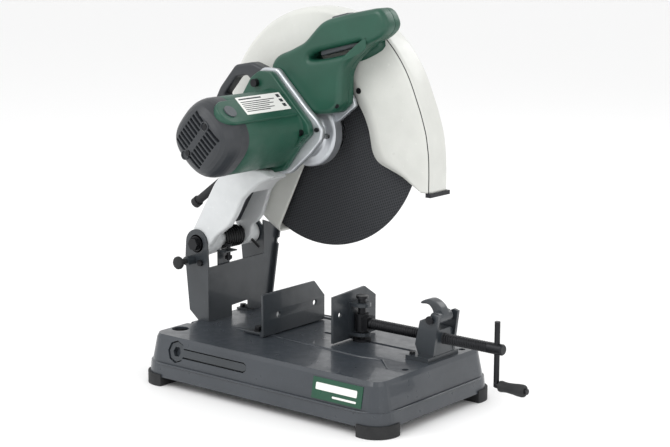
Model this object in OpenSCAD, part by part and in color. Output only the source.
// Abrasive chop saw: a stamped base with a vice, and a sprung arm that carries the motor and disc.
// Millimetres. X runs from the hinge at the back to the vice crank at the front, Y from the motor
// side to the disc side, Z up. The origin is on the bench, under the middle of the machine.

/* [Base] */
// Length of the base at its bottom rim
base_l = 452; // [446:1:456]
// Width of the base at its bottom rim
base_w = 271; // [269:1:276]
// Height of the base's flat top above the bench
base_top = 76; // [74:1:78]
// Thickness of the base's sheet steel
sheet_t = 3; // [2.5:0.5:3]
// Radius of the bench bolt holes
bench_hole_r = 5; // [4:0.5:5.5]

/* [Disc and arm] */
// Radius of the abrasive disc
disc_r = 177.5; // [165:0.5:178]
// Thickness of the abrasive disc
disc_t = 2.8; // [2:0.2:3.2]
// Radius of the arm's pivot bolt
pivot_r = 6; // [5:0.5:6]
// Thickness of the guards' sheet metal
guard_t = 2; // [1.5:0.25:2]

/* [Drive] */
// Gear module
gear_module = 1.5; // [1.5:0.1:1.5]
// Teeth on the armature's pinion
pinion_teeth = 10; // [10:1:10]
// Teeth on the spindle's gear
gear_teeth = 30; // [30:1:30]
// Distance from the motor axis to the housing's flat sides
motor_r = 52; // [51:0.5:53]

/* [Vice] */
// Radius of the vice screw
screw_r = 8; // [7:0.5:8]
// Height of the screw's axis above the bench
screw_z = 104; // [103:0.5:105]
// Length of the fence across the base
fence_len = 144; // [130:1:145]
// Height of the fence
fence_h = 66; // [55:1:68]

/* [Hidden] */
$fn = 48;

// The base's middle lies this far behind the machine's middle, because the crank overhangs it.
base_x = -35;
run_gap = 0.05;
disc_y = 108;
disc_x = -69;
disc_z = 371;
pivot_x = -214;
pivot_z = 196;
spindle_r = 8;
motor_x = disc_x - gear_module * (pinion_teeth + gear_teeth) / 2 * cos(16);
motor_z = disc_z + gear_module * (pinion_teeth + gear_teeth) / 2 * sin(16);
fence_x = -62;
fence_pivot_y = 80;
jaw_x = 38;
jaw_pin_x = 57;
vice_y = 40;
rim_z = 14;
ledge_z = 35;
corner_r = 31;
ear_y0 = -26;
ear_y1 = 103;
plate_t = 3;
cross_x = -193;
grip_mid_y = 64;

module machine() { translate([base_x, 0, 0]) children(); }

// A slab with the XZ outline of its child, from y0 to y1.
module slab_y(y0, y1) {
  translate([0, y1, 0]) rotate([90, 0, 0]) linear_extrude(y1 - y0) children();
}
// A slab with the YZ outline of its child, from x0 to x1.
module slab_x(x0, x1) {
  translate([x0, 0, 0]) rotate([90, 0, 90]) linear_extrude(x1 - x0) children();
}
module rod_y(x, z, y0, y1, r) {
  translate([x, y1, z]) rotate([90, 0, 0]) cylinder(r = r, h = y1 - y0);
}
module rod_x(y, z, x0, x1, r) {
  translate([x0, y, z]) rotate([0, 90, 0]) cylinder(r = r, h = x1 - x0);
}
module hex_y(x, z, y0, y1, flat) {
  translate([x, y1, z]) rotate([90, 0, 0]) cylinder(r = flat / sqrt(3), h = y1 - y0, $fn = 6);
}
module hex_z(x, y, z0, z1, flat) {
  translate([x, y, z0]) cylinder(r = flat / sqrt(3), h = z1 - z0, $fn = 6);
}
// Points of an arc about (cx, cy) from angle a0 to a1 in n steps.
function arc(cx, cy, r, a0, a1, n) =
  [for (i = [0:n]) [cx + r * cos(a0 + (a1 - a0) * i / n), cy + r * sin(a0 + (a1 - a0) * i / n)]];
function reversed(list) = [for (i = [len(list) - 1:-1:0]) list[i]];
// A ring sector between two radii about the disc's axis, in the disc's plane.
function sector(r0, r1, a0, a1, n) =
  concat(arc(disc_x, disc_z, r1, a0, a1, n), reversed(arc(disc_x, disc_z, r0, a0, a1, n)));

// ---- Base -------------------------------------------------------------------------------
// The pan's rounded rectangle, shrunk by inset, as a thin plate from z0 to z1.
module pan_plate(inset, z0, z1) {
  for (sx = [-1, 1], sy = [-1, 1])
    translate([sx * (base_l / 2 - corner_r), sy * (base_w / 2 - corner_r), z0])
      cylinder(r = corner_r - inset, h = z1 - z0, $fn = 32);
}
module pan_body(t, z_low, z_high) {
  hull() {
    pan_plate(t, z_low, z_low + 1);
    pan_plate(t + 2, ledge_z - t / 2 - 1, ledge_z - t / 2);
  }
  hull() {
    pan_plate(t + 4, ledge_z - t / 2 - 1.5, ledge_z - t / 2 - 1);
    pan_plate(t + 11, z_high - 7, z_high - 6);
    pan_plate(t + 14, z_high - 1, z_high);
  }
}
bench_x = [-210, 199];
bench_y = [-45, 92];
slot_x = [-104, 128];
slot_y = [103, 113];
// Bolts that go down through the base's top: x, y and radius.
top_bolts = [[-208.5, -1, 3], [-198.2, -1, 3], [-208.5, 73, 3], [-198.2, 73, 3], [171.5, 9, 2.5],
  [171.5, 65, 2.5], [fence_x - 22, fence_pivot_y, 4.2]];
wall_lean = atan(7 / 36);
// Puts its children on the motor side's sloping wall: x along it, y into it, z up it.
module on_near_wall() {
  translate([0, -base_w / 2 + 4, ledge_z - 1]) rotate([-wall_lean, 0, 0]) children();
}
module spanner_outline(grow) {
  translate([-161, 22]) circle(r = 15 + grow, $fn = 8);
  translate([-161, 16 - grow]) square([132 + grow, 11 + 2 * grow]);
  translate([-29, 21.5]) circle(r = 5 + 0.95 * grow);
}
module base_pan() {
  color([0.2, 0.22, 0.24]) machine() {
    difference() {
      union() {
        difference() {
          pan_body(0, rim_z, base_top);
          pan_body(sheet_t, rim_z - 1, base_top - sheet_t);
        }
        // The block behind the spanner's pocket.
        on_near_wall() translate([-186, 0.6, 3]) cube([172, 13, 33]);
      }
      for (x = bench_x, y = bench_y)
        translate([x, y, base_top - 10]) cylinder(r = bench_hole_r, h = 20);
      for (b = top_bolts) translate([b[0], b[1], base_top - 10]) cylinder(r = b[2], h = 20);
      translate([-196, -82, base_top - 10]) cylinder(r = 13, h = 20);
      translate([slot_x[0], slot_y[0], base_top - 10])
        cube([slot_x[1] - slot_x[0], slot_y[1] - slot_y[0], 20]);
      translate([-14, vice_y - 4, base_top - 10]) cube([172, 8, 20]);
      on_near_wall() slab_y(-10, 9) spanner_outline(2);
    }
    for (sx = [-1, 1], sy = [-1, 1])
      translate([sx * (base_l / 2 - 29), sy * (base_w / 2 - 29), 15]) foot_boss();
  }
}
module foot_boss() {
  difference() {
    cylinder(r = 8, h = base_top - sheet_t - 15);
    translate([0, 0, -1]) cylinder(r = 2.6, h = 20);
  }
}

module base_feet() {
  color([0.12, 0.12, 0.13]) machine()
    for (sx = [-1, 1], sy = [-1, 1]) difference() {
      translate([sx * (base_l / 2 - corner_r), sy * (base_w / 2 - corner_r), 0])
        cylinder(r = corner_r + 3.5, h = 18);
      translate([sx * (base_l / 2 - corner_r), sy * (base_w / 2 - corner_r), 14])
        cylinder(r = corner_r, h = 20);
      translate([sx * (base_l / 2 - corner_r - 6), sy * (base_w / 2 - corner_r), 24])
        cube([12, 2 * corner_r + 0.1, 20], center = true);
      translate([sx * (base_l / 2 - corner_r), sy * (base_w / 2 - corner_r - 6), 24])
        cube([2 * corner_r + 0.1, 12, 20], center = true);
      // Each foot is a quarter: the rest is cut away inside the corner.
      translate([sx * (base_l / 2 - corner_r - 60), sy * (base_w / 2 - corner_r), 5])
        cube([100, 300, 60], center = true);
      translate([sx * (base_l / 2 - corner_r), sy * (base_w / 2 - corner_r - 60), 5])
        cube([300, 100, 60], center = true);
      translate([sx * (base_l / 2 - 29), sy * (base_w / 2 - 29), -1]) cylinder(r = 2.6, h = 30);
      translate([sx * (base_l / 2 - 29), sy * (base_w / 2 - 29), -1]) cylinder(r = 5, h = 5);
    }
}
module foot_screws() {
  color([0.3, 0.3, 0.32]) machine()
    for (sx = [-1, 1], sy = [-1, 1])
      translate([sx * (base_l / 2 - 29), sy * (base_w / 2 - 29), 1]) {
        cylinder(r = 4.8, h = 3);
        cylinder(r = 2.5, h = 30);
      }
}
module badge_plate() {
  color([0.07, 0.27, 0.2]) machine() on_near_wall() translate([102, -1, 4]) cube([87, 1, 30]);
}
module spanner() {
  color([0.16, 0.17, 0.18]) machine() on_near_wall() difference() {
    slab_y(2, 8.9) spanner_outline(0);
    slab_y(0, 10) translate([-161, 22]) circle(r = 8, $fn = 6);
  }
}

// ---- Hinge bracket ----------------------------------------------------------------------
module pivot_bracket() {
  ear = concat([[-230, 90], [-212, 76], [-190, 76], [-190, 168]],
    arc(pivot_x, pivot_z, 22, 0, 180, 16), [[-238, 170]]);
  cross = [[ear_y0, 76], [27, 76], [27, 93], [66, 95], [66, 81], [92, 76], [ear_y1 + 3, 76],
    [ear_y1 + 3, 163], [ear_y0, 161]];
  shield = [[ear_y1, 76], [112, 76], [134, 200], [128, 208], [ear_y1, 217]];
  color([0.2, 0.22, 0.24]) machine() {
    difference() {
      union() {
        slab_y(ear_y0, ear_y0 + plate_t) polygon(ear);
        slab_y(ear_y1, ear_y1 + plate_t) polygon(ear);
      }
      rod_y(pivot_x, pivot_z, ear_y0 - 5, ear_y1 + 10, pivot_r);
      rod_y(-205, 167, ear_y0 - 5, ear_y0 + 5, 3);
      rod_y(-222, 170, ear_y0 - 5, ear_y0 + 5, 4.6);
    }
    slab_x(cross_x, cross_x + plate_t) polygon(cross);
    slab_x(cross_x, cross_x + plate_t) polygon(shield);
    // The shield's turned edge, with its half-round notch.
    difference() {
      hull() {
        translate([cross_x, 112, 80]) cube([9, plate_t, 1]);
        translate([cross_x, 134, 199]) cube([9, plate_t, 1]);
      }
      rod_y(cross_x + 10, 180, 100, 150, 5);
    }
    // Feet folded back on to the base.
    for (y = [[-22, 20], [64, 82]])
      difference() {
        translate([-214, y[0], 76]) cube([21, y[1] - y[0], plate_t]);
        for (x = [-208.5, -198.2])
          translate([x, (y[0] + y[1]) / 2, 70]) cylinder(r = 3.2, h = 20);
      }
  }
}
module bracket_bolts() {
  color([0.15, 0.15, 0.16]) machine() {
    for (x = [-208.5, -198.2], y = [-1, 73]) {
      hex_z(x, y, 79, 84, 8.6);
      translate([x, y, 62]) cylinder(r = 3, h = 18);
    }
    hex_y(-205, 167, ear_y0 - 4, ear_y0, 9);
    rod_y(-205, 167, ear_y0 - 1, ear_y0 + 6, 2.9);
  }
}
module pivot_bolt() {
  color([0.15, 0.15, 0.16]) machine() {
    rod_y(pivot_x, pivot_z, ear_y0 - 4, ear_y1 + 12, pivot_r);
    rod_y(pivot_x, pivot_z, ear_y0 - 2, ear_y0, 12);
    hex_y(pivot_x, pivot_z, ear_y0 - 9, ear_y0 - 2, 17);
  }
}
module pivot_nut() {
  color([0.15, 0.15, 0.16]) machine() difference() {
    hex_y(pivot_x, pivot_z, ear_y1 + plate_t, ear_y1 + 12, 18);
    rod_y(pivot_x, pivot_z, ear_y1, ear_y1 + 20, pivot_r);
  }
}
module pivot_bushes() {
  color([0.55, 0.45, 0.25]) machine()
    for (y = [[-22.5, 6], [74, 102.5]]) difference() {
      rod_y(pivot_x, pivot_z, y[0], y[1], 9);
      rod_y(pivot_x, pivot_z, y[0] - 1, y[1] + 1, pivot_r + run_gap);
    }
}
// Coils side by side about the arm's tube, with one straight leg down to the cross plate.
module torsion_spring() {
  color([0.08, 0.08, 0.09]) machine() {
    for (i = [0:11])
      translate([pivot_x, 27.5 + i * 3.5, pivot_z]) rotate([90, 0, 0])
        rotate_extrude() translate([14.8, 0]) circle(r = 1.8, $fn = 16);
    translate([pivot_x + 14.8, 66.2, pivot_z]) rotate([-7, 160, 0]) cylinder(r = 1.6, h = 40);
  }
}
module stop_plate() {
  color([0.2, 0.22, 0.24]) machine() difference() {
    union() {
      translate([cross_x - 2, 0, 140]) cube([2, 26, 44]);
      translate([cross_x - 2, 0, 182]) cube([18, 26, 2]);
    }
    translate([cross_x + 9, 14, 170]) cylinder(r = 3.2, h = 30);
  }
}
module stop_screw() {
  color([0.14, 0.14, 0.15]) machine() {
    translate([cross_x + 9, 14, 168]) cylinder(r = 3.1, h = 24);
    hex_z(cross_x + 9, 14, 190, 194, 10);
    hex_z(cross_x + 9, 14, 170, 175, 10);
  }
}
module pin_boss() {
  color([0.13, 0.13, 0.14]) machine() difference() {
    union() {
      rod_y(-222, 170, -41, ear_y0, 7);
      rod_y(-222, 170, ear_y0, ear_y0 + plate_t, 4.6);
    }
    rod_y(-222, 170, -50, 0, 3.05);
  }
}
module transport_pin() {
  color([0.14, 0.14, 0.15]) machine() {
    rod_y(-222, 170, -54, -18.5, 3);
    rod_y(-222, 170, -62, -54, 10);
    rod_y(-222, 170, -47, -44, 4.5);
  }
}

// ---- Arm --------------------------------------------------------------------------------
arm_low = [[-199.5, 186], [-177, 212], [-150, 231], [-136, 250], [-124, 273], [-105, 292], [-86, 305],
  [-66, 314]];
arm_high = [[-86, 321], [-155, 321], [-180, 292], [-226, 216]];
arm_far = [[-200, 184], [-192, 199], [-190, 213], [-179, 220], [-168, 232], [-153, 272],
  [-130, 299], [-96, 322], [-92, 350], [-150, 330], [-180, 292], [-226, 216]];
flange_outline = [[-142, 452], [-126, 463], [-103, 463], [-31, 392], [-27, 376], [-51, 353],
  [-78, 317], [-124, 306], [-140, 318], [-160, 350], [-160, 425]];
module arm_casting() {
  color([0.86, 0.87, 0.87]) machine() difference() {
    union() {
      slab_y(-22, -15) polygon(concat(arm_low, arm_high, arc(pivot_x, pivot_z, 17, 160, 280, 10)));
      rod_y(pivot_x, pivot_z, -22, 12, 20);
      rod_y(pivot_x, pivot_z, 74, 102, 17);
      rod_y(pivot_x, pivot_z, 12, 74, 11.5);
      slab_y(74, 81) polygon(arm_far);
      // The back that joins the two walls, and the neck up to the motor's flange.
      slab_y(-15, 74) polygon([[-224, 218], [-181, 289], [-152, 325], [-142, 318], [-172, 286],
        [-214, 217]]);
      slab_y(-20, 42) polygon([[-168, 296], [-124, 280], [-104, 296], [-90, 303], [-100, 312],
        [-154, 312]]);
      // The lug that meets the depth stop when the disc is down.
      slab_y(6, 22) translate([pivot_x, pivot_z])
        polygon([[9, 6], [17.1, 14], [27.2, 23.7], [20.5, 30.7], [6, 23]]);
    }
    rod_y(pivot_x, pivot_z, -30, 110, 9);
    arm_keepout();
  }
}
// The space of the motor and gear case, which the arm stops at.
module arm_keepout() {
  slab_y(20, 32) polygon(flange_outline);
  slab_y(32, 42) polygon(case_outline);
  rod_y(motor_x, motor_z, -100, 20, motor_r + 5);
  rod_y(motor_x, motor_z, 42, 70, 32);
  rod_y(disc_x, disc_z, 42, 66, 34);
  rod_y(disc_x, disc_z, 66, 84, 52);
  rod_y(-118, 316, 12, 22, 6.5);
}
case_outline = [[-146, 452], [-128, 467], [-99, 467], [-40, 410], [-24, 397], [-13, 382], [-16, 366],
  [-34, 346], [-74, 312], [-124, 304], [-142, 315], [-163, 348], [-163, 427]];
module gear_case() {
  color([0.72, 0.74, 0.75]) machine() difference() {
    union() {
      slab_y(32, 42) polygon(case_outline);
      rod_y(disc_x, disc_z, 42, 66, 34);
      rod_y(disc_x, disc_z, 66, 78, 52);
      rod_y(motor_x, motor_z, 42, 70, 32);
      // The lobe behind the foot of the handle.
      difference() {
        slab_y(76, 84) polygon([[-66, 400], [-19, 389], [-2, 402], [14.8, 415], [8, 430],
          [-19.6, 454.6], [-62, 440]]);
        rod_y(disc_x, disc_z, 78, 90, 52);
      }
    }
    rod_y(motor_x, motor_z, 31, 38, 11.5);
    rod_y(motor_x, motor_z, 37, 67, 24);
    rod_y(disc_x, disc_z, 44.5, 66, 27);
    rod_y(disc_x, disc_z, 38, 80, 14);
    rod_x(48.5, disc_z, disc_x, 0, 3.05);
  }
}
module gear_cover() {
  color([0.78, 0.8, 0.8]) machine() difference() {
    union() {
      rod_y(disc_x, disc_z, 78, 84, 52);
      rod_y(disc_x, disc_z, 84, 90, 34);
    }
    rod_y(disc_x, disc_z, 70, 95, 14);
    for (a = [45:90:315])
      rod_y(disc_x + 43 * cos(a), disc_z + 43 * sin(a), 70, 95, 2.6);
  }
}
module case_screws() {
  color([0.25, 0.25, 0.27]) machine() {
    for (a = [45:90:315]) {
      rod_y(disc_x + 43 * cos(a), disc_z + 43 * sin(a), 78, 84, 2.5);
      rod_y(disc_x + 43 * cos(a), disc_z + 43 * sin(a), 84, 85.4, 4);
    }
    rod_y(-22, 382, 29, 32, 3.5);
  }
}
module spindle() {
  color([0.6, 0.62, 0.64]) machine() difference() {
    rod_y(disc_x, disc_z, 39, 110, spindle_r);
    rod_y(disc_x, disc_z, 92, 120, 4);
  }
}
// A spur gear about (x, z): a toothed ring whose pitch radius is module times teeth over 2.
module spur(x, z, teeth, y0, y1, turn) {
  pitch = gear_module * teeth / 2;
  tip = pitch + 0.85 * gear_module;
  root = pitch - 1.15 * gear_module;
  step = 360 / teeth;
  slab_y(y0, y1) translate([x, z]) rotate(turn) polygon([for (i = [0:teeth - 1])
    for (c = [[root, -0.34], [tip, -0.12], [tip, 0.12], [root, 0.34]])
      [c[0] * cos((i + c[1]) * step), c[0] * sin((i + c[1]) * step)]]);
}
module spindle_gear() {
  color([0.5, 0.5, 0.5]) machine() difference() {
    spur(disc_x, disc_z, gear_teeth, 53, 64, 164);
    rod_y(disc_x, disc_z, 40, 70, spindle_r);
  }
}
module ball_bearing(x, z, y0, y1, r0, r1) {
  difference() {
    rod_y(x, z, y0, y1, r1);
    rod_y(x, z, y0 - 1, y1 + 1, r0);
  }
}
module spindle_bearings() {
  color([0.65, 0.66, 0.68]) machine() {
    ball_bearing(disc_x, disc_z, 38, 44.5, spindle_r + run_gap, 14);
    ball_bearing(disc_x, disc_z, 68, 78, spindle_r + run_gap, 14);
    ball_bearing(disc_x, disc_z, 80, 89, spindle_r + run_gap, 14);
  }
}
module inner_flange() {
  color([0.5, 0.52, 0.54]) machine() difference() {
    union() {
      rod_y(disc_x, disc_z, 99, disc_y - disc_t / 2, 40);
      rod_y(disc_x, disc_z, 93, 99, 20);
    }
    rod_y(disc_x, disc_z, 80, 120, spindle_r);
  }
}
module outer_flange() {
  color([0.5, 0.52, 0.54]) machine() difference() {
    rod_y(disc_x, disc_z, disc_y + disc_t / 2, disc_y + 6, 38);
    rod_y(disc_x, disc_z, 100, 120, spindle_r);
  }
}
module cutting_disc() {
  color([0.13, 0.14, 0.15]) machine() difference() {
    rod_y(disc_x, disc_z, disc_y - disc_t / 2, disc_y + disc_t / 2, disc_r, $fn = 96);
    rod_y(disc_x, disc_z, 100, 120, spindle_r);
  }
}
module disc_bolt() {
  color([0.25, 0.25, 0.27]) machine() {
    rod_y(disc_x, disc_z, 94, 115, 4);
    rod_y(disc_x, disc_z, 114, 116, 12);
    hex_y(disc_x, disc_z, 116, 122, 17);
  }
}
module spindle_lock() {
  color([0.85, 0.86, 0.87]) machine() {
    rod_x(48.5, disc_z, disc_x + spindle_r + 5, -14, 3);
    rod_x(48.5, disc_z, -24, -17, 3.8);
  }
}

// ---- Motor ------------------------------------------------------------------------------
module armature_shaft() {
  color([0.6, 0.62, 0.64]) machine() {
    rod_y(motor_x, motor_z, -137, 52, 5);
    spur(motor_x, motor_z, pinion_teeth, 52, 65, -16 + 180 / pinion_teeth);
  }
}
module armature_core() {
  color([0.45, 0.3, 0.2]) machine() {
    difference() {
      rod_y(motor_x, motor_z, -62, 0, 23);
      rod_y(motor_x, motor_z, -63, 1, 5);
    }
    difference() {
      rod_y(motor_x, motor_z, -122, -102, 14);
      rod_y(motor_x, motor_z, -123, -101, 5);
    }
  }
}
module cooling_fan() {
  color([0.1, 0.1, 0.1]) machine() difference() {
    union() {
      rod_y(motor_x, motor_z, 14, 16, 36);
      rod_y(motor_x, motor_z, 6, 16, 9);
      for (a = [0:30:330])
        translate([motor_x, 0, motor_z]) rotate([0, a, 0]) translate([7, 6.5, -1]) cube([27, 8.5, 2]);
    }
    rod_y(motor_x, motor_z, 0, 20, 5);
  }
}
module armature_bearings() {
  color([0.65, 0.66, 0.68]) machine() {
    ball_bearing(motor_x, motor_z, -137, -128, 5 + run_gap, 11);
    ball_bearing(motor_x, motor_z, 26, 37.5, 5 + run_gap, 11.5);
  }
}
module stator() {
  color([0.4, 0.3, 0.25]) machine() difference() {
    rod_y(motor_x, motor_z, -64, 2, motor_r - 6);
    rod_y(motor_x, motor_z, -65, 3, 25);
    for (a = [0, 180])
      translate([motor_x, -32, motor_z]) rotate([0, a + 90, 0]) translate([24, -40, -12])
        cube([12, 80, 24]);
  }
}
// Local x points out through the motor's labelled side, 48 degrees up from the front.
module on_panel() {
  translate([motor_x, 0, motor_z]) rotate([0, -48, 0]) children();
}
module carbon_brushes() {
  color([0.2, 0.2, 0.2]) machine() on_panel() {
    translate([14.4, -117, -4]) cube([motor_r + 2 - 14.4, 8, 8]);
    translate([-motor_r + 7.2, -117, -4]) cube([motor_r - 21.6, 8, 8]);
  }
}
module brush_cap() {
  color([0.2, 0.2, 0.21]) machine() on_panel()
    translate([motor_r + 2, -113, 0]) rotate([0, 90, 0]) cylinder(r = 10, h = 2);
}
module motor_housing() {
  color([0.1, 0.3, 0.23]) machine() difference() {
    union() {
      intersection() {
        rod_y(motor_x, motor_z, -97, 22, motor_r + 5);
        on_panel() translate([-motor_r, -97, -motor_r]) cube([2 * motor_r, 119, 2 * motor_r]);
      }
      slab_y(20, 32) polygon(flange_outline);
      // The raised panel, whose round end reaches into the end cap.
      on_panel() {
        translate([motor_r - 10, -113, -22]) cube([12, 133, 44]);
        translate([motor_r - 10, -113, 0]) rotate([0, 90, 0]) cylinder(r = 22, h = 12);
      }
    }
    rod_y(motor_x, motor_z, -66, 20, motor_r - 6);
    rod_y(motor_x, motor_z, -98, -64, motor_r - 10);
    rod_y(motor_x, motor_z, 18, 33, 38);
    rod_y(motor_x, motor_z, -140, -97, motor_r - 10);
    on_panel() translate([motor_r - 20, -118, -5]) cube([22, 10, 10]);
    for (p = motor_screw_at) rod_y(p[0], p[1], -6, 20, 7);
  }
}
module rating_label() {
  color([0.92, 0.92, 0.9]) machine() on_panel()
    translate([motor_r + 2, -84, -10]) cube([0.5, 95, 33]);
}
module motor_end_cap() {
  color([0.2, 0.22, 0.24]) machine() {
    difference() {
      union() {
        intersection() {
          rod_y(motor_x, motor_z, -126, -97, motor_r + 4);
          on_panel() translate([1 - motor_r, -130, 1 - motor_r])
            cube([2 * motor_r - 2, 40, 2 * motor_r - 2]);
        }
        translate([motor_x, -126, motor_z]) rotate([90, 0, 0])
          cylinder(r1 = motor_r - 1, r2 = motor_r - 14, h = 18);
      }
      rod_y(motor_x, motor_z, -124, -96, motor_r - 6);
      translate([motor_x, -123.9, motor_z]) rotate([90, 0, 0])
        cylinder(r1 = motor_r - 6, r2 = motor_r - 17, h = 16);
      // Air slots, in two columns across the leaning face.
      on_panel() for (i = [-4:4], s = [-1, 1])
        translate([i * 7 - 1.5, -150, s * 17 - 12]) cube([3, 24, 24]);
      // Room for the housing's raised panel.
      on_panel() {
        translate([motor_r - 10.05, -113, -22.05]) cube([20, 30, 44.1]);
        translate([motor_r - 10.05, -113, 0]) rotate([0, 90, 0]) cylinder(r = 22.05, h = 20);
      }
    }
    difference() {
      rod_y(motor_x, motor_z, -141.5, -127.5, 14);
      rod_y(motor_x, motor_z, -137, -127, 11);
    }
  }
}
motor_screw_at = [[-130, 445], [-44, 378], [-118, 316], [-151, 360]];
module motor_screws() {
  color([0.12, 0.12, 0.13]) machine() {
    for (p = motor_screw_at) rod_y(p[0], p[1], 13, 20, 6);
    for (s = [-1, 1])
      rod_y(motor_x + s * 17, motor_z + s * 20, -145.5, -144, 4);
  }
}
module carry_handle() {
  color([0.24, 0.26, 0.28]) machine() difference() {
    slab_y(42, 64) polygon([[-172, 398], [-238, 408], [-226, 430], [-194, 466], [-160, 472],
      [-128, 462], [-146, 430], [-158, 396]]);
    slab_y(40, 70) polygon([[-184, 412], [-218, 418], [-192, 448], [-170, 452], [-160, 442],
      [-172, 424]]);
  }
}
module cord_gland() {
  color([0.12, 0.12, 0.13]) machine()
    translate([-166, 30, 320]) rotate([0, -126.2, 0]) difference() {
      union() {
        cylinder(r = 6.5, h = 122);
        translate([0, 0, 118]) cylinder(r = 8.5, h = 9);
      }
      translate([0, 0, 70]) cylinder(r = 4, h = 60);
    }
}

// ---- Handle -----------------------------------------------------------------------------
handle_outline = [[-124, 462], [-118, 478], [-108, 486], [-86, 494], [-58, 507], [-42, 523],
  [-28, 534], [-14, 540], [22, 549], [80, 558], [94, 553], [103, 540], [100, 528], [85, 519],
  [60, 510], [29, 488], [16, 474], [12, 460], [11, 420], [-4, 406], [-38, 401], [-46, 404]];
handle_upper = [[-124, 462], [-118, 478], [-108, 486], [-86, 494], [-58, 507], [-42, 523],
  [-28, 534], [-14, 540], [22, 549], [80, 558], [94, 553], [103, 540], [100, 528], [85, 519],
  [60, 510], [29, 488], [16, 474], [12, 462]];
finger_gap = [[-58, 480], [-40, 493], [48, 516], [56, 513], [44, 504], [26, 492.5], [-10, 484],
  [-40, 479]];
module handle_half(y0, y1, outline) {
  difference() {
    slab_y(y0, y1) polygon(outline);
    handle_hollows(y0, y1);
  }
}
module handle_hollows(y0, y1) {
  slab_y(y0 - 1, y1 + 1) polygon(finger_gap);
  // Room for the trigger, the switch and the button.
  slab_y(grip_mid_y - 9, grip_mid_y + 9)
    polygon([[-38, 491], [49, 513], [47, 529], [30, 539], [10, 534], [-34, 516]]);
  slab_y(grip_mid_y - 8, grip_mid_y + 8)
    polygon([[-16, 524], [22, 534], [18, 560], [-20, 550]]);
}
handle_screw_at = [[-62, 470], [86, 536], [-47, 505], [6, 472], [-30, 412], [4, 418]];
module handle_left() {
  color([0.14, 0.36, 0.28]) machine() difference() {
    handle_half(42, grip_mid_y, handle_outline);
    for (p = handle_screw_at) rod_y(p[0], p[1], 40, 80, 2);
    for (p = handle_screw_at) rod_y(p[0], p[1], 40, 46, 3.6);
  }
}
module handle_right() {
  color([0.14, 0.36, 0.28]) machine() {
    difference() {
      handle_half(grip_mid_y, 76, handle_outline);
      for (p = handle_screw_at) rod_y(p[0], p[1], 60, 72, 2);
      rod_y(disc_x, disc_z, 66, 90, 52);
      rod_y(motor_x, motor_z, 60, 70, 33);
    }
    handle_half(76, 84, handle_upper);
  }
}
module handle_screws() {
  color([0.12, 0.12, 0.13]) machine()
    for (p = handle_screw_at) {
      rod_y(p[0], p[1], 43.5, 46, 3.5);
      rod_y(p[0], p[1], 46, 71, 2);
    }
}
module trigger() {
  color([0.3, 0.32, 0.34]) machine() slab_y(grip_mid_y - 8.5, grip_mid_y + 8.5)
    polygon([[-34, 493.5], [45, 514], [43, 521], [-33, 502]]);
}
module lock_button() {
  color([0.3, 0.32, 0.34]) machine() slab_y(grip_mid_y - 7.5, grip_mid_y + 7.5)
    polygon([[-13, 535], [19, 543], [17, 553], [-16, 545]]);
}
module switch_unit() {
  color([0.1, 0.1, 0.1]) machine() slab_y(grip_mid_y - 8.5, grip_mid_y + 8.5)
    polygon([[-31, 509], [12, 519], [11, 527], [-32, 515]]);
}

// ---- Guards -----------------------------------------------------------------------------
guard_y0 = 90;
guard_y1 = 126;
module fixed_guard() {
  color([0.84, 0.85, 0.84]) machine() {
    difference() {
      slab_y(guard_y0, guard_y0 + guard_t) polygon(sector(30, 183, 62, 244, 40));
      rod_y(disc_x, disc_z, 80, 100, 26);
    }
    slab_y(guard_y0, guard_y1) polygon(sector(183, 185, 62, 244, 40));
    difference() {
      union() {
        slab_y(guard_y1 - guard_t, guard_y1) polygon(sector(38, 183, 62, 244, 40));
        rod_y(disc_x, disc_z, guard_y1 - guard_t, guard_y1, 40);
        rod_y(disc_x, disc_z, guard_y1, guard_y1 + 6, 24);
      }
      rod_y(disc_x, disc_z, 100, 140, 18);
    }
  }
}
low_y0 = 85.8;
low_y1 = 130.2;
low_outer = concat(arc(disc_x, disc_z, 197, 64, 22, 10),
  [[126, 414], [136, 384], [141, 352], [142, 298]]);
low_inner = [[128, 298], [112, 307], [94, 318], [72, 326], [52, 333], [43, 341], [38, 353],
  [33, 380], [25, 399], [15, 415], [-3, 438], [-19, 455], [-6, 476], [10, 492], [17, 502]];
low_rim = concat(arc(disc_x, disc_z, 195, 64, 22, 10),
  [[124, 413], [134, 384], [139, 352], [140, 298]]);
module lower_guard() {
  color([0.88, 0.89, 0.88]) machine() {
    slab_y(low_y0, low_y0 + guard_t) polygon(concat(low_outer, low_inner));
    slab_y(low_y0, low_y1) polygon(concat(low_outer, reversed(low_rim)));
    difference() {
      union() {
        slab_y(low_y1 - guard_t, low_y1) polygon(concat(low_outer, low_inner));
        slab_y(low_y1 - guard_t, low_y1)
          polygon([[-75, 404], [-6, 476], [43, 345], [-60, 338]]);
        rod_y(disc_x, disc_z, low_y1 - guard_t, low_y1, 34);
      }
      rod_y(disc_x, disc_z, 100, 140, 24 + run_gap);
    }
  }
}
module guard_bar() {
  color([0.2, 0.2, 0.21]) machine() {
    translate([136, 84.8, 292]) cube([9, 48.4, 6]);
    rod_y(13, 437, 84.6, low_y0, 4.5);
  }
}

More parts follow.
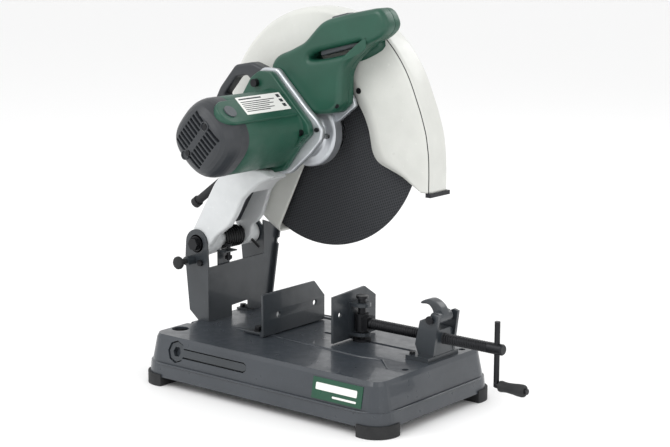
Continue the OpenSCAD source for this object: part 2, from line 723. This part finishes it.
// ---- Fence and vice ---------------------------------------------------------------------
module fence() {
  near = fence_pivot_y + 19 - fence_len;
  far = near + fence_len;
  color([0.2, 0.22, 0.24]) machine() {
    difference() {
      slab_x(fence_x - 4, fence_x) polygon([[near, 76.3], [far, 76.3], [far, 76 + fence_h - 26],
        [far - 24, 76 + fence_h], [near, 76 + fence_h]]);
      rod_x(-10, 106, fence_x - 10, fence_x + 10, 4);
      rod_x(far - 24, 108, fence_x - 10, fence_x + 10, 4);
    }
    difference() {
      translate([fence_x - 44, near + 6, 76.3]) cube([40.5, fence_len - 12, 5]);
      translate([fence_x - 22, fence_pivot_y, 70]) cylinder(r = 4.25, h = 20);
    }
    // The clamping bolt near the operator's end.
    translate([fence_x - 20, near + 15, 81]) cylinder(r = 9, h = 2);
    hex_z(fence_x - 20, near + 15, 83, 89, 13);
  }
}
module fence_bolt() {
  color([0.15, 0.15, 0.16]) machine() translate([fence_x - 22, fence_pivot_y, 0]) {
    translate([0, 0, 62]) cylinder(r = 4.2, h = 25);
    translate([0, 0, 81.6]) cylinder(r = 9, h = 1.6);
    hex_z(0, 0, 83.2, 89, 13);
  }
}
module jaw() {
  color([0.2, 0.22, 0.24]) machine() {
    difference() {
      slab_x(jaw_x, jaw_x + 4) polygon([[-9, 78], [92, 78], [92, 134], [66, 151], [-9, 147]]);
      rod_x(7, 118, jaw_x - 5, jaw_x + 10, 4);
      rod_x(77, 120, jaw_x - 5, jaw_x + 10, 4);
    }
    // The bracket on the jaw's back: two arms that hold the pin above and below the screw.
    difference() {
      union() {
        for (z = [84, 128]) {
          translate([jaw_x + 4, vice_y - 13, z]) cube([jaw_pin_x - jaw_x - 4, 26, 5]);
          translate([jaw_pin_x, vice_y, z]) cylinder(r = 13, h = 5);
        }
        translate([jaw_x + 4, vice_y - 13, 84]) cube([4, 26, 49]);
      }
      translate([jaw_pin_x, vice_y, 70]) cylinder(r = 6.05, h = 80);
    }
  }
}
module jaw_carriage() {
  color([0.16, 0.17, 0.18]) machine() {
    translate([jaw_pin_x, vice_y, 79]) cylinder(r = 6, h = 62);
    translate([jaw_pin_x, vice_y, 76.2]) cylinder(r = 14, h = 3);
    translate([jaw_pin_x - 7, vice_y - 3.6, 69]) cube([14, 7.2, 7.4]);
    translate([jaw_pin_x, vice_y, 140]) cylinder(r = 9, h = 4);
    difference() {
      union() {
        translate([jaw_pin_x, vice_y, screw_z - 13]) cylinder(r = 10.5, h = 26);
        translate([jaw_pin_x, vice_y - 9, screw_z - 10]) cube([16, 18, 20]);
      }
      rod_x(vice_y, screw_z, jaw_pin_x + 6.5, jaw_pin_x + 30, screw_r - 2 + run_gap);
    }
  }
}
module vice_screw() {
  color([0.14, 0.15, 0.16]) machine() difference() {
    union() {
      rod_x(vice_y, screw_z, jaw_pin_x + 7, jaw_pin_x + 17, screw_r - 2);
      rod_x(vice_y, screw_z, jaw_pin_x + 16.5, 304, screw_r);
    }
    translate([293, vice_y, screw_z - 20]) cylinder(r = 4, h = 40);
  }
}
module crank_rod() {
  color([0.14, 0.15, 0.16]) machine() {
    translate([293, vice_y, screw_z - 54]) cylinder(r = 4, h = 93);
    rod_x(vice_y, screw_z - 52, 292, 344, 4);
  }
}
module crank_grip() {
  color([0.13, 0.14, 0.15]) machine() difference() {
    translate([298.5, vice_y, screw_z - 52]) rotate([0, 90, 0]) cylinder(r1 = 6.5, r2 = 9, h = 42);
    rod_x(vice_y, screw_z - 52, 290, 350, 4.05);
  }
}
module nut_block() {
  color([0.2, 0.22, 0.24]) machine() {
    difference() {
      translate([166, 0, 76]) cube([39, 74, 6]);
      for (y = [9, 65]) translate([171.5, y, 70]) cylinder(r = 2.5, h = 20);
    }
    for (y = [14, 61]) difference() {
      slab_y(y, y + 5) polygon([[178, 82], [204, 82], [212, 141], [204, 143], [180, 131],
        [172, 96]]);
      rod_y(199, 135, y - 1, y + 6, 4);
    }
    difference() {
      slab_x(182, 204) polygon([[19, 82], [61, 82], [61, 114], [56, 118], [24, 118], [19, 114]]);
      rod_x(vice_y, screw_z, 170, 220, screw_r + run_gap);
    }
  }
}
module release_lever() {
  color([0.2, 0.22, 0.24]) machine() difference() {
    union() {
      rod_y(199, 135, 24, 56, 9);
      slab_y(32, 48) polygon([[206, 129], [208, 138], [204, 149], [194, 157], [182, 160],
        [168, 154], [167, 150], [180, 152], [187, 147], [191, 138]]);
    }
    rod_y(199, 135, 10, 70, 4.05);
  }
}
module lever_pin() {
  color([0.14, 0.15, 0.16]) machine() {
    rod_y(199, 135, 11, 69, 4);
    rod_y(199, 135, 9.5, 12, 6);
  }
}
module nut_block_bolts() {
  color([0.14, 0.15, 0.16]) machine()
    for (y = [9, 65]) {
      translate([171.5, y, 62]) cylinder(r = 2.5, h = 22);
      hex_z(171.5, y, 82, 86, 8);
    }
}

base_pan();
base_feet();
foot_screws();
badge_plate();
spanner();
pivot_bracket();
bracket_bolts();
pivot_bolt();
pivot_nut();
pivot_bushes();
torsion_spring();
stop_plate();
stop_screw();
pin_boss();
transport_pin();
arm_casting();
gear_case();
gear_cover();
case_screws();
spindle();
spindle_gear();
spindle_bearings();
inner_flange();
outer_flange();
cutting_disc();
disc_bolt();
spindle_lock();
armature_shaft();
armature_core();
cooling_fan();
armature_bearings();
stator();
carbon_brushes();
brush_cap();
motor_housing();
rating_label();
motor_end_cap();
motor_screws();
carry_handle();
cord_gland();
handle_left();
handle_right();
handle_screws();
trigger();
lock_button();
switch_unit();
fixed_guard();
lower_guard();
guard_bar();
fence();
fence_bolt();
jaw();
jaw_carriage();
vice_screw();
crank_rod();
crank_grip();
nut_block();
release_lever();
lever_pin();
nut_block_bolts();
